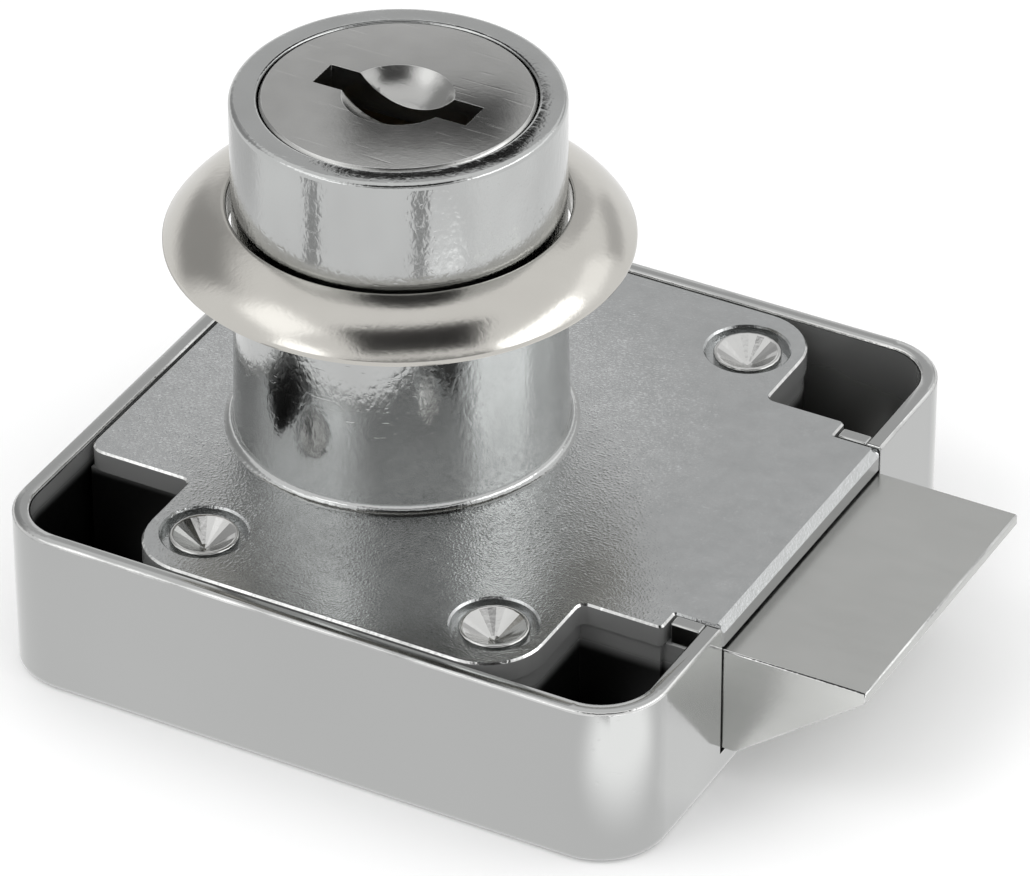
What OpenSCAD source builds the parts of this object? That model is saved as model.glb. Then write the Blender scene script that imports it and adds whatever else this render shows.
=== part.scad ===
// Furniture push lock: a flat square rim lock with a pressed and keyed barrel and a slanted spring bolt.
// Millimetres. The origin is on the barrel's axis, at the case's back. +Z runs up the barrel and +X to the bolt.

/* [Case] */
// Length of the case along the bolt's travel
case_l = 40; // [36:0.5:46]
// Width of the case
case_w = 40; // [36:0.5:46]
// Height of the case from its back to its rim
case_h = 10; // [9.6:0.1:12]
// Distance from the barrel's axis to the side that the bolt leaves
backset = 25; // [24:0.25:26]
// Thickness of the side walls
wall = 1; // [0.8:0.05:1.2]
// Thickness of the floor
floor_t = 1.6; // [1.2:0.1:1.7]
// Radius of the four upright corners
corner_r = 4; // [3:0.1:5]
// Radius of the round between the sides and the back
foot_r = 0.6; // [0.3:0.05:0.9]
// Thickness of the walls inside the case, round its screw pockets
rib_t = 1; // [0.7:0.05:1.2]

/* [Screw holes] */
// Distance from a screw hole's centre to the case's wall beside it
screw_edge = 3.5; // [3.4:0.05:3.7]
// Diameter of a screw hole
screw_d = 4; // [3.4:0.1:4.2]
// Diameter of the countersink that takes a screw's head
screw_sink_d = 6.4; // [5.5:0.1:6.6]
// Depth of that countersink
screw_sink_h = 1; // [0.6:0.1:1.1]

/* [Cover] */
// Thickness of the cover plate
plate_t = 1.3; // [1:0.05:1.4]
// Clearance between the cover plate and the case's walls
plate_gap = 0.15; // [0.05:0.05:0.3]
// Radius of the cover plate's round shoulders beside its rivets
shoulder_r = 3.5; // [2.5:0.1:3.8]
// Length of the cover plate's narrow tongue over the bolt
tongue_l = 2.9; // [2:0.1:3.5]
// Distance from the case's end walls to the plate's round shoulders
shoulder_inset = 6.8; // [6:0.1:7.2]
// Distance from a rivet's centre to the plate's shoulder beside it
rivet_margin = 3.2; // [2.8:0.1:3.6]
// Distance from a rivet's centre to the case's side wall
rivet_edge = 4; // [3.6:0.1:4.4]
// Diameter of a rivet's shank
rivet_d = 2.4; // [2:0.1:2.8]
// Diameter of a rivet's head
rivet_head_d = 3.9; // [3.4:0.1:4.2]
// Diameter of the recess round a rivet's head
rivet_recess_d = 4.8; // [4.5:0.1:5.2]
// Depth of that recess
rivet_recess_h = 0.6; // [0.4:0.05:0.7]
// Clearance round a rivet's shank
rivet_gap = 0.05; // [0.02:0.01:0.1]

/* [Barrel] */
// Diameter of the barrel
barrel_d = 18.5; // [18.2:0.1:19]
// Height of the barrel above the rim
barrel_l = 21; // [20.5:0.1:25]
// Diameter of the barrel where its casting taper meets the plate
barrel_foot_d = 18.9; // [18.6:0.05:19.1]
// Height of the casting taper
taper_h = 7.5; // [4:0.5:8]
// Radius of the fillet between the barrel and the plate
barrel_fillet = 0.5; // [0.2:0.05:0.7]
// Chamfer on the barrel's outer top edge
barrel_chamfer = 0.25; // [0.1:0.05:0.4]
// Thickness of the barrel's wall round the pusher
cavity_wall = 1.05; // [0.9:0.05:1.1]
// Width of the ledge under the push spring
ledge_w = 0.9; // [0.7:0.05:1]

/* [Trim ring] */
// Outer diameter of the trim ring
ring_d = 26.1; // [25:0.1:30]
// Height of the trim ring
ring_h = 2.4; // [2:0.1:3]
// Thickness of the trim ring's sheet
ring_t = 0.7; // [0.5:0.05:0.9]
// Rise of the trim ring's bowed flank above a straight cone
ring_bow = 0.4; // [0.2:0.05:0.6]
// Clearance between the trim ring and the barrel
ring_gap = 0.25; // [0.25:0.05:0.5]
// Radius of the trim ring's rolled lip
lip_r = 0.2; // [0.15:0.05:0.3]
// Thickness of the panel that the trim ring is set for
panel_t = 12; // [9:0.1:15]

/* [Plug] */
// Diameter of the plug
plug_d = 15.2; // [14.8:0.1:15.4]
// Length of the plug
plug_l = 14; // [13.8:0.1:14.2]
// Running clearance between the plug and its bore
plug_gap = 0.08; // [0.03:0.01:0.1]
// Chamfer on the plug's edges
plug_chamfer = 0.15; // [0.05:0.05:0.3]
// Width of the keyway
keyway_w = 9.5; // [8.8:0.1:10]
// Thickness of the keyway
keyway_t = 2.05; // [1.8:0.05:2.3]
// Diameter of the dished key guide
guide_d = 6.2; // [5:0.1:7]
// Depth of the dished key guide
guide_h = 1.5; // [1:0.1:1.6]
// Diameter of the plug's tail pin
tail_d = 3.6; // [3.2:0.1:4]
// Running clearance round the tail pin
tail_gap = 0.06; // [0.03:0.01:0.1]

/* [Wafers] */
// Thickness of a wafer
wafer_t = 0.9; // [0.7:0.05:0.95]
// Distance from wafer to wafer
wafer_pitch = 1.75; // [1.7:0.01:1.8]
// Width of a wafer
wafer_w = 5.8; // [5:0.1:6.2]
// Clearance on each side of a wafer
wafer_gap = 0.06; // [0.03:0.01:0.1]
// Travel of a wafer into the barrel's groove
wafer_throw = 0.6; // [0.4:0.05:0.6]
// Height of the first wafer above the plug's lower end
wafer_lift = 2; // [1.9:0.05:2.1]

/* [Pusher] */
// Travel of the pressed plug
push_travel = 4.5; // [4:0.1:4.6]
// Travel of the bolt for each millimetre that the plug is pressed
ramp_ratio = 1.8; // [1.7:0.02:1.8]
// Thickness of the pusher's disc
disc_t = 1.2; // [1:0.05:1.3]
// Width of the pusher's wedge
wedge_w = 5; // [4.4:0.1:5]
// Depth that the wedge reaches into the bolt at rest
wedge_reach = 2.1; // [1.8:0.1:2.1]
// Thickness of the wedge's lower end
wedge_tip = 1.1; // [0.8:0.1:1.2]
// Distance from the disc's edge to the wedge
wedge_inset = 1.4; // [1.3:0.05:1.6]
// Outer diameter of the pusher's hub
hub_d = 8.6; // [8.2:0.1:9]
// Outer diameter of the tail clip
clip_d = 5.6; // [5:0.1:5.8]
// Thickness of the tail clip
clip_t = 0.5; // [0.4:0.05:0.6]

/* [Bolt] */
// Width of the bolt
bolt_w = 19; // [17:0.1:20]
// Distance that the bolt reaches out of the case
bolt_reach = 8.5; // [8.2:0.1:9.5]
// Thickness of the bolt's tip
bolt_tip_t = 0.7; // [0.5:0.05:1.2]
// Length of the flat under the bolt, outside the case
bolt_flat = 0.8; // [0.4:0.1:1.5]
// Clearance between the bolt and the cover plate
bolt_gap = 0.2; // [0.15:0.05:0.3]
// Clearance between the bolt and the floor
bolt_floor_gap = 0.3; // [0.2:0.05:0.4]
// Room on each side of the bolt's head inside the case
bolt_side_gap = 0.6; // [0.4:0.05:0.8]
// Length of the bolt's wide head inside the case
bolt_head_l = 10.8; // [10.4:0.1:11.5]
// Width of the bolt's narrow tail
bolt_tail_w = 8; // [7.8:0.1:8.4]
// Clearance between the bolt and its window
window_gap = 0.15; // [0.1:0.05:0.2]

/* [Springs] */
// Mean diameter of a bolt spring
bolt_spring_d = 2.9; // [2.7:0.05:3]
// Diameter of a bolt spring's wire
bolt_wire_d = 0.5; // [0.4:0.05:0.55]
// Depth of the bolt spring's seat in the bolt
bolt_seat_h = 2.8; // [2:0.1:4]
// Turns of a bolt spring
bolt_turns = 13; // [10:1:16]
// Diameter of the push spring's wire
push_wire_d = 0.4; // [0.3:0.05:0.45]
// Turns of the push spring
push_turns = 3; // [3:1:4]
// Mean diameter of a wafer spring
wafer_spring_d = 0.86; // [0.8:0.01:0.9]
// Diameter of a wafer spring's wire
wafer_wire_d = 0.22; // [0.18:0.01:0.24]
// Turns of a wafer spring
wafer_turns = 5; // [4:1:6]

/* [Hidden] */

// Overlap that a cut runs past a face, and the fineness of round shapes
over = 0.5;
$fn = 96;

// Case
x_left = backset - case_l;
x_right = backset;
x_mid = (x_left + x_right) / 2;
half_w = case_w / 2;
in_left = x_left + wall;
in_right = x_right - wall;
in_half = half_w - wall;
in_corner_r = corner_r - wall;

// Cover plate
plate_z = case_h - plate_t;
neck_left = in_left + shoulder_inset;
neck_right = in_right - shoulder_inset;
rivet_x = x_mid - neck_left - rivet_margin;
inside_half = bolt_w / 2 + bolt_side_gap;
waist_half = inside_half + rib_t;
window_half = bolt_w / 2 + window_gap;
tongue_half = window_half - window_gap / 2;
tongue_x = x_right - tongue_l;
rivet_y = in_half - rivet_edge;
screw_x = (in_right - in_left) / 2 - screw_edge;
screw_y = in_half - screw_edge;

// Barrel, plug and pusher
barrel_r = barrel_d / 2;
barrel_top = case_h + barrel_l;
plug_r = plug_d / 2;
plug_z = barrel_top - plug_l;
bore_r = plug_r + plug_gap;
cavity_r = barrel_r - cavity_wall;
ledge_r = cavity_r - ledge_w;
disc_gap = 0.2;
stop_gap = 0.1;
disc_r = cavity_r - disc_gap;
disc_top = plug_z - stop_gap;
disc_z = disc_top - disc_t;

// Bolt
bolt_top = plate_z - bolt_gap;
bolt_z = floor_t + bolt_floor_gap;
bolt_travel = ramp_ratio * push_travel;
bolt_tip_x = x_right + bolt_reach;
bolt_head_x = in_right - bolt_head_l;
bolt_tail_gap = 0.6;
bolt_tail_x = in_left + bolt_travel + bolt_tail_gap;

// The wedge and the bolt share one slanted plane, x = ramp_x + ramp_ratio * (bolt_top - z)
ramp_gap = 0.12;
ramp_x = bolt_travel - (disc_r - wedge_inset);
wedge_z = bolt_top - wedge_reach;
wedge_side_gap = 0.3;
wedge_x_max = ramp_x + ramp_ratio * wedge_reach + wedge_tip;
slot_half = wedge_w / 2 + wedge_side_gap;
// The wedge's back stays on the slanted plane up to the height that meets the bolt's top when it is pressed
wedge_back_x = ramp_x - bolt_travel;
wedge_back_z = bolt_top + push_travel;
slot_end_gap = 0.5;
slot_foot = 1;
slot_x = max(wedge_x_max + bolt_travel + slot_end_gap, ramp_x + ramp_ratio * (bolt_top - bolt_z) + slot_foot);
hub_gap = 0.3;
hub_z = bolt_top + push_travel + hub_gap;
clip_room = 0.4;
clip_hole_r = clip_d / 2 + clip_room;
clip_drop = 0.2;
clip_z = disc_z - clip_drop - clip_t;
clip_groove_d = 2.6;
clip_mouth_w = 2;

// Wafers
groove_r = plug_r + wafer_throw + 0.25;
groove_rise = 1;
wafer_r = plug_r - 0.1;
window_w = keyway_w + 2 * wafer_throw + 0.3;
window_t = keyway_t + 0.2;
tab_x = 1.2;
tab_l = 0.8;
tab_w = 1.5;
tab_inset = 0.15;
pocket_x = -2.3;
wafer_spring_room = 1.35;
wafer_spring_gap = 0.05;
wafer_count = 6;

// Springs
spring_seat_gap = 0.05;
bolt_spring_y = (bolt_tail_w + bolt_w) / 4;
bolt_spring_z = (bolt_top + bolt_z) / 2;
bolt_seat_r = (bolt_spring_d + bolt_wire_d) / 2 + 0.2;
spigot_r = (bolt_spring_d - bolt_wire_d) / 2 - 0.2;
spigot_l = 4;
push_spring_r = (ledge_r + cavity_r) / 2;

function wafer_z(k) = plug_z + wafer_lift + (k - 1) * wafer_pitch;
function arc(cx, cy, rx, ry, from, to, steps) =
    [for (i = [0:steps]) let (a = from + (to - from) * i / steps) [cx + rx * cos(a), cy + ry * sin(a)]];

// A closed-end compression spring along +Z, from z = 0 to z = length
function coil_z(u, turns, length, wire_r) =
    u < 1 ? wire_r * (1 + 2 * u)
    : u > turns - 1 ? length - wire_r * (1 + 2 * (turns - u))
    : 3 * wire_r + (length - 6 * wire_r) * (u - 1) / (turns - 2);

module coil_spring(length, mean_r, wire_r, turns, steps, sides) {
    rings = turns * steps;
    centres = [for (i = [0:rings]) let (a = 360 * i / steps)
        [mean_r * cos(a), mean_r * sin(a), coil_z(i / steps, turns, length, wire_r)]];
    points = [for (i = [0:rings], j = [0:sides - 1])
        let (
            a = 360 * i / steps,
            radial = [cos(a), sin(a), 0],
            ahead = centres[min(i + 1, rings)] - centres[max(i - 1, 0)],
            side = cross(ahead / norm(ahead), radial),
            b = 360 * j / sides
        )
        centres[i] + wire_r * (cos(b) * radial + sin(b) * side / norm(side))];
    skin = [for (i = [0:rings - 1], j = [0:sides - 1]) let (n = (j + 1) % sides)
        [i * sides + j, i * sides + n, (i + 1) * sides + n, (i + 1) * sides + j]];
    first = [for (j = [0:sides - 1]) sides - 1 - j];
    last = [for (j = [0:sides - 1]) rings * sides + j];
    polyhedron(points, concat(skin, [first, last]));
}

// A block with four round upright corners
module round_block(x0, x1, half, r, z0, z1) {
    translate([x0 + r, -half, z0]) cube([x1 - x0 - 2 * r, 2 * half, z1 - z0]);
    translate([x0, r - half, z0]) cube([x1 - x0, 2 * (half - r), z1 - z0]);
    for (x = [x0 + r, x1 - r], y = [-1, 1])
        translate([x, y * (half - r), z0]) cylinder(r = r, h = z1 - z0);
}

// The outline of one upright side, from the middle of the case out to a distance, with the round along the foot
function side_outline(reach) = concat(
    [[0, 0]],
    arc(reach - foot_r, foot_r, foot_r, foot_r, 270, 360, 5),
    [[reach, case_h], [0, case_h]]
);

// The case's outer form: two crossing bands with rounded feet, and four turned corners between their ends
module case_form() {
    band_l = case_l - 2 * corner_r;
    band_w = case_w - 2 * corner_r;
    for (a = [0, 180]) translate([x_mid, 0, 0]) rotate([0, 0, a]) {
        rotate([90, 0, 0]) linear_extrude(height = band_w, center = true) polygon(side_outline(case_l / 2));
        rotate([90, 0, 90]) linear_extrude(height = band_l, center = true) polygon(side_outline(half_w));
    }
    for (x = [x_left + corner_r, x_right - corner_r], y = [-1, 1])
        translate([x, y * (half_w - corner_r), 0]) rotate_extrude() polygon(side_outline(corner_r));
}

// The cover plate's outline, grown or shrunk by an amount, as one block between two heights
module cover_form(grow, z0, z1) {
    round_block(neck_left - grow, neck_right + grow, in_half - plate_gap + grow, shoulder_r + grow, z0, z1);
    translate([in_left + plate_gap - grow, -waist_half - grow, z0])
        cube([tongue_x - in_left - plate_gap + 2 * grow, 2 * (waist_half + grow), z1 - z0]);
}

module at_rivets() {
    for (x = [-1, 1], y = [-1, 1])
        translate([x_mid + x * rivet_x, y * rivet_y, 0]) children();
}

module at_screws() {
    for (x = [-1, 1], y = [-1, 1])
        translate([x_mid + x * screw_x, y * screw_y, 0]) children();
}

module at_bolt_springs() {
    for (y = [-1, 1]) translate([0, y * bolt_spring_y, bolt_spring_z]) children();
}

// Everything inside the case's side walls, from one height upwards
module case_inside(z0) {
    round_block(in_left, in_right, in_half, in_corner_r, z0, case_h + over);
}

module case() {
    band_left = x_mid - rivet_x + shoulder_r;
    band_right = x_mid + rivet_x - shoulder_r;
    tail_head_r = rivet_head_d / 2 + rivet_gap;
    color("gainsboro") {
        difference() {
            case_form();
            // The seat of the cover plate
            case_inside(plate_z);
            // The four screw pockets, outside the cover's outline
            difference() {
                case_inside(floor_t);
                cover_form(-plate_gap, 0, case_h + 2 * over);
                translate([tongue_x - over, -window_half - rib_t, 0])
                    cube([x_right - tongue_x + 2 * over, 2 * (window_half + rib_t), case_h + 2 * over]);
            }
            // The room for the bolt and its springs, and the band between the rivets
            translate([in_left, -inside_half, floor_t]) cube([in_right - in_left, 2 * inside_half, case_h]);
            translate([band_left, -in_half, floor_t]) cube([band_right - band_left, 2 * in_half, case_h]);
            // The bolt's window, open to the rim
            translate([in_right - over, -window_half, floor_t]) cube([wall + 2 * over, 2 * window_half, case_h]);
            at_screws() {
                translate([0, 0, -over]) cylinder(d = screw_d, h = floor_t + 2 * over);
                cylinder(d1 = screw_sink_d, d2 = screw_d, h = screw_sink_h);
                translate([0, 0, -over]) cylinder(d = screw_sink_d, h = over);
            }
            at_rivets() {
                translate([0, 0, -over]) cylinder(r = rivet_d / 2 + rivet_gap, h = case_h);
                translate([0, 0, -over]) cylinder(r = tail_head_r, h = rivet_recess_h + over);
            }
        }
        // The cast spigots that the bolt springs sit on
        intersection() {
            at_bolt_springs() translate([x_left + wall / 2, 0, 0])
                rotate([0, 90, 0]) cylinder(r = spigot_r, h = spigot_l + wall / 2);
            case_form();
        }
    }
}

// The barrel's outer form, with its casting taper, fillet and top chamfer
module barrel_form() {
    foot = barrel_foot_d / 2;
    rotate_extrude() polygon(concat(
        [[0, plate_z + plate_t / 2], [foot + barrel_fillet, plate_z + plate_t / 2]],
        arc(foot + barrel_fillet, case_h + barrel_fillet, barrel_fillet, barrel_fillet, 270, 180, 5),
        [[barrel_r, case_h + taper_h], [barrel_r, barrel_top - barrel_chamfer],
         [barrel_r - barrel_chamfer, barrel_top], [0, barrel_top]]
    ));
}

module cover() {
    color("silver") difference() {
        union() {
            cover_form(0, plate_z, case_h);
            translate([0, -tongue_half, plate_z]) cube([x_right, 2 * tongue_half, plate_t]);
            barrel_form();
        }
        translate([0, 0, plate_z - over]) cylinder(r = ledge_r, h = plate_t + 2 * over);
        translate([0, 0, case_h]) cylinder(r = cavity_r, h = plug_z - case_h);
        translate([0, 0, plug_z - over]) cylinder(r = bore_r, h = plug_l + 2 * over);
        // Four grooves that the wafers lock into, two for each place of the key
        for (a = [0, 90]) rotate([0, 0, a]) intersection() {
            translate([-groove_r, -wafer_w / 2 - wafer_gap * 2, plug_z - over])
                cube([2 * groove_r, wafer_w + 4 * wafer_gap, wafer_z(wafer_count) - plug_z + over + groove_rise]);
            translate([0, 0, plug_z - over]) cylinder(r = groove_r, h = plug_l);
        }
        at_rivets() {
            translate([0, 0, plate_z - over]) cylinder(r = rivet_d / 2 + rivet_gap, h = plate_t + 2 * over);
            translate([0, 0, case_h - rivet_recess_h]) cylinder(d = rivet_recess_d, h = rivet_recess_h + over);
        }
    }
}

module cover_rivets() {
    head_h = rivet_recess_h - 0.1;
    head_z = case_h - rivet_recess_h;
    head_rim = 0.3;
    head_dish = 0.9;
    foot_z = 0.05;
    color("lightgray") at_rivets() rotate_extrude() polygon([
        [0, foot_z], [rivet_head_d / 2, foot_z], [rivet_head_d / 2, rivet_recess_h],
        [rivet_d / 2, rivet_recess_h], [rivet_d / 2, head_z], [rivet_head_d / 2, head_z],
        [rivet_head_d / 2, head_z + head_h * 0.6], [rivet_head_d / 2 - head_rim / 2, head_z + head_h],
        [rivet_head_d / 2 - head_rim, head_z + head_h], [0, head_z + head_h - head_dish]
    ]);
}

// A line from one point to another, bowed to its left
function bowed(from, to, rise, steps) = let (span = to - from, side = [span[1], -span[0]] / norm(span))
    [for (i = [0:steps]) let (u = i / steps) from + span * u + side * rise * 4 * u * (1 - u)];

module trim_ring() {
    bore = barrel_r + ring_gap;
    outer = ring_d / 2;
    edge_h = 0.15;
    crown = bore + lip_r;
    collar_z = 0.3;
    inner = bore + ring_t;
    roof = ring_h - ring_t * 1.4;
    color("gainsboro") translate([0, 0, case_h + panel_t]) rotate_extrude() polygon(concat(
        bowed([outer, edge_h], [crown, ring_h], ring_bow, 14),
        arc(crown, ring_h - lip_r, lip_r, lip_r, 105, 180, 5),
        [[bore, collar_z], [inner, collar_z]],
        bowed([inner, roof], [outer - ring_t, 0], -ring_bow, 8),
        [[outer, 0]]
    ));
}

// The keyway, and the round dish that leads the key to it
module keyway() {
    depth = barrel_top - wafer_z(1) + wafer_lift / 2;
    dish_r = (guide_d * guide_d / 4 + guide_h * guide_h) / (2 * guide_h);
    translate([-keyway_w / 2, -keyway_t / 2, barrel_top - depth]) cube([keyway_w, keyway_t, depth + over]);
    translate([0, 0, barrel_top + dish_r - guide_h]) sphere(r = dish_r);
}

// Turns every second wafer end for end
module wafer_place(k) {
    translate([0, 0, wafer_z(k)]) rotate([0, 0, k % 2 == 0 ? 180 : 0]) children();
}

module plug() {
    slot_h = wafer_t + 2 * wafer_gap;
    tab_room = tab_x + tab_l + wafer_throw + wafer_gap - pocket_x;
    color("darkgray") {
        difference() {
            rotate_extrude() polygon([
                [0, plug_z], [plug_r - plug_chamfer, plug_z], [plug_r, plug_z + plug_chamfer],
                [plug_r, barrel_top - plug_chamfer], [plug_r - plug_chamfer, barrel_top], [0, barrel_top]
            ]);
            keyway();
            for (k = [1:wafer_count]) wafer_place(k) {
                translate([-plug_r - over, -wafer_w / 2 - wafer_gap, -wafer_gap])
                    cube([2 * (plug_r + over), wafer_w + 2 * wafer_gap, slot_h]);
                translate([pocket_x, wafer_w / 2 - tab_inset, (wafer_t - wafer_spring_room) / 2])
                    cube([tab_room, tab_w + 2 * tab_inset, wafer_spring_room]);
            }
        }
        difference() {
            translate([0, 0, hub_z + clip_drop]) cylinder(d = tail_d, h = plug_z - hub_z);
            translate([0, 0, clip_z - clip_drop / 4]) difference() {
                cylinder(d = tail_d + over, h = clip_t + clip_drop / 2);
                translate([0, 0, -over]) cylinder(d = clip_groove_d, h = clip_t + 2 * over);
            }
        }
    }
}

module wafer(k) {
    color("goldenrod") wafer_place(k) difference() {
        union() {
            intersection() {
                translate([-plug_r, -wafer_w / 2, 0]) cube([2 * plug_r, wafer_w, wafer_t]);
                cylinder(r = wafer_r, h = wafer_t);
            }
            translate([tab_x, 0, 0]) cube([tab_l, wafer_w / 2 + tab_w, wafer_t]);
        }
        translate([-window_w / 2, -window_t / 2, -over]) cube([window_w, window_t, wafer_t + 2 * over]);
    }
}

module wafer_spring(k) {
    length = tab_x - pocket_x - 2 * wafer_spring_gap;
    color("lightsteelblue") wafer_place(k)
        translate([pocket_x + wafer_spring_gap, wafer_w / 2 + tab_w / 2, wafer_t / 2])
            rotate([0, 90, 0]) coil_spring(length, wafer_spring_d / 2, wafer_wire_d / 2, wafer_turns, 9, 5);
}

module tail_clip() {
    color("lightsteelblue") translate([0, 0, clip_z]) difference() {
        cylinder(d = clip_d, h = clip_t);
        translate([0, 0, -over]) cylinder(d = clip_groove_d + 0.1, h = clip_t + 2 * over);
        translate([-clip_mouth_w / 2, -clip_d, -over]) cube([clip_mouth_w, clip_d, clip_t + 2 * over]);
    }
}

module pusher() {
    color("burlywood") difference() {
        union() {
            translate([0, 0, disc_z]) cylinder(r = disc_r, h = disc_t);
            translate([0, 0, hub_z]) cylinder(d = hub_d, h = disc_z - hub_z + disc_t / 2);
            rotate([90, 0, 0]) linear_extrude(height = wedge_w, center = true) polygon([
                [wedge_x_max - wedge_tip, wedge_z], [wedge_x_max, wedge_z],
                [wedge_x_max, disc_z + disc_t / 2], [wedge_back_x, disc_z + disc_t / 2], [wedge_back_x, wedge_back_z]
            ]);
        }
        translate([0, 0, hub_z - over]) cylinder(r = tail_d / 2 + tail_gap, h = disc_top - hub_z + 2 * over);
        translate([0, 0, hub_z]) cylinder(r = clip_hole_r, h = disc_z - hub_z);
        translate([-clip_hole_r, -hub_d, clip_z - clip_drop])
            cube([2 * clip_hole_r, hub_d, disc_z - clip_z + clip_drop]);
    }
}

module push_spring() {
    color("lightsteelblue") translate([0, 0, case_h + spring_seat_gap])
        coil_spring(disc_z - case_h - 2 * spring_seat_gap, push_spring_r, push_wire_d / 2, push_turns, 30, 6);
}

module bolt() {
    ramp_low = ramp_x - ramp_gap + ramp_ratio * (bolt_top - bolt_z);
    ramp_high = ramp_x - ramp_gap;
    cut = over * ramp_ratio;
    color("darkgray") difference() {
        union() {
            rotate([90, 0, 0]) linear_extrude(height = bolt_w, center = true) polygon([
                [bolt_head_x, bolt_z], [x_right + bolt_flat, bolt_z], [bolt_tip_x, bolt_top - bolt_tip_t],
                [bolt_tip_x, bolt_top], [bolt_head_x, bolt_top]
            ]);
            translate([bolt_tail_x, -bolt_tail_w / 2, bolt_z])
                cube([bolt_head_x - bolt_tail_x + over, bolt_tail_w, bolt_top - bolt_z]);
        }
        // The slot that the wedge drives, closed by the slanted face
        rotate([90, 0, 0]) linear_extrude(height = 2 * slot_half, center = true) polygon([
            [ramp_low + cut, bolt_z - over], [slot_x, bolt_z - over], [slot_x, bolt_top + over],
            [ramp_high - cut, bolt_top + over]
        ]);
        at_bolt_springs() translate([bolt_head_x - over, 0, 0])
            rotate([0, 90, 0]) cylinder(r = bolt_seat_r, h = bolt_seat_h + over);
    }
}

module bolt_spring(side) {
    length = bolt_head_x + bolt_seat_h - in_left - 2 * spring_seat_gap;
    color("lightsteelblue") translate([in_left + spring_seat_gap, side * bolt_spring_y, bolt_spring_z])
        rotate([0, 90, 0]) coil_spring(length, bolt_spring_d / 2, bolt_wire_d / 2, bolt_turns, 12, 6);
}

case();
cover();
cover_rivets();
trim_ring();
plug();
wafer(1);  // wafer_1
wafer(2);  // wafer_2
wafer(3);  // wafer_3
wafer(4);  // wafer_4
wafer(5);  // wafer_5
wafer(6);  // wafer_6
wafer_spring(1);  // wafer_spring_1
wafer_spring(2);  // wafer_spring_2
wafer_spring(3);  // wafer_spring_3
wafer_spring(4);  // wafer_spring_4
wafer_spring(5);  // wafer_spring_5
wafer_spring(6);  // wafer_spring_6
tail_clip();
pusher();
push_spring();
bolt();
bolt_spring(1);  // bolt_spring_left
bolt_spring(-1);  // bolt_spring_right
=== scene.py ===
# %% [markdown]
# # A furniture push lock
# A square rim lock for a drawer: a plated die-cast case, a flat cover cast in one with a round
# barrel, a loose trim ring, a keyed plug that is pushed to open, and a slanted bolt. Every finish
# is a bare metal, so the shape of the edges and what the metal reflects do most of the work. The
# frame comes first, because each size starts from it.

# %% The frame
from math import asin, cos, degrees, pi, radians, sin, tan

import bmesh
import bpy
from mathutils import Matrix, Vector


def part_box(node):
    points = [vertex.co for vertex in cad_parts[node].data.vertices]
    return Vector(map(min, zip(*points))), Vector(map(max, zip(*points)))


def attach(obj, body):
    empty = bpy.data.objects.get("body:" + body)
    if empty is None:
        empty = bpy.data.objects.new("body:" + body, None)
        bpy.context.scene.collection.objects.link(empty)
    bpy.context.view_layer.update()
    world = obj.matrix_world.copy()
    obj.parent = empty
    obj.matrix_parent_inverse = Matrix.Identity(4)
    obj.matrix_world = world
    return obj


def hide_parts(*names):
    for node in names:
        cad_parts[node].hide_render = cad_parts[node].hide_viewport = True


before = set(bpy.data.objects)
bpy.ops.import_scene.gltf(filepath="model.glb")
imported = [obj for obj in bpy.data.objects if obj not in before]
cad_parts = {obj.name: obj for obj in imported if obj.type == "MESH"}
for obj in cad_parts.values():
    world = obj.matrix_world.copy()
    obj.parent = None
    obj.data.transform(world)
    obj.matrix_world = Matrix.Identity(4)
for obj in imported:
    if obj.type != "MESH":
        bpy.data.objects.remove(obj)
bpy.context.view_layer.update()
MM = 0.001

case_low, case_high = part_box("case")
cover_low, cover_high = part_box("cover")
ring_low, ring_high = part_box("trim_ring")
plug_low, plug_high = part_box("plug")
rim_z = case_high.z
barrel_top = cover_high.z
print("rim", rim_z, "barrel top", barrel_top)

# %% [markdown]
# ## Camera
# The lock was photographed from its front right, from above, with a long lens. The viewing angles,
# the distance and the lens below come from fitting the lock's own edges, so the case's edges run as
# they do in the photograph.

# %% The camera
VIEW_AZIMUTH = radians(28.453)
VIEW_ELEVATION = radians(34.482)
VIEW_ROLL = radians(-0.116)
VIEW_DISTANCE = 410.04 * MM
VIEW_SHIFT_RIGHT = 6.296 * MM
VIEW_SHIFT_UP = -1.31 * MM
LENS = 256.76


def direction(azimuth, elevation):
    """The unit vector from the lock to a viewer or lamp. Azimuth 0 is straight in front of it."""
    return Vector((sin(azimuth) * cos(elevation), -cos(azimuth) * cos(elevation), sin(elevation)))


back = direction(VIEW_AZIMUTH, VIEW_ELEVATION)
level_right = Vector((cos(VIEW_AZIMUTH), sin(VIEW_AZIMUTH), 0))
level_up = back.cross(level_right)
right = level_right * cos(VIEW_ROLL) + level_up * sin(VIEW_ROLL)
up = level_up * cos(VIEW_ROLL) - level_right * sin(VIEW_ROLL)

camera_data = bpy.data.cameras.new("camera")
camera_data.lens = LENS
camera_data.sensor_width = 36
camera_data.clip_start = 0.01
camera = bpy.data.objects.new("camera", camera_data)
bpy.context.collection.objects.link(camera)
camera.matrix_world = Matrix((right, up, back)).transposed().to_4x4()
camera.location = (
    level_right * VIEW_SHIFT_RIGHT + level_up * VIEW_SHIFT_UP + back * VIEW_DISTANCE
    + Vector((0, 0, rim_z))
)
bpy.context.scene.camera = camera
bpy.context.scene.view_settings.view_transform = "Standard"
print("camera at", camera.location)

# %% [markdown]
# ## Shader helpers
# A finish is a small tree of nodes. Two helpers keep the trees readable: one adds a node with its
# settings and inputs, and one opens a node group, which is a part of a tree that several finishes
# share.

# %% Two helpers for shader trees


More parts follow.
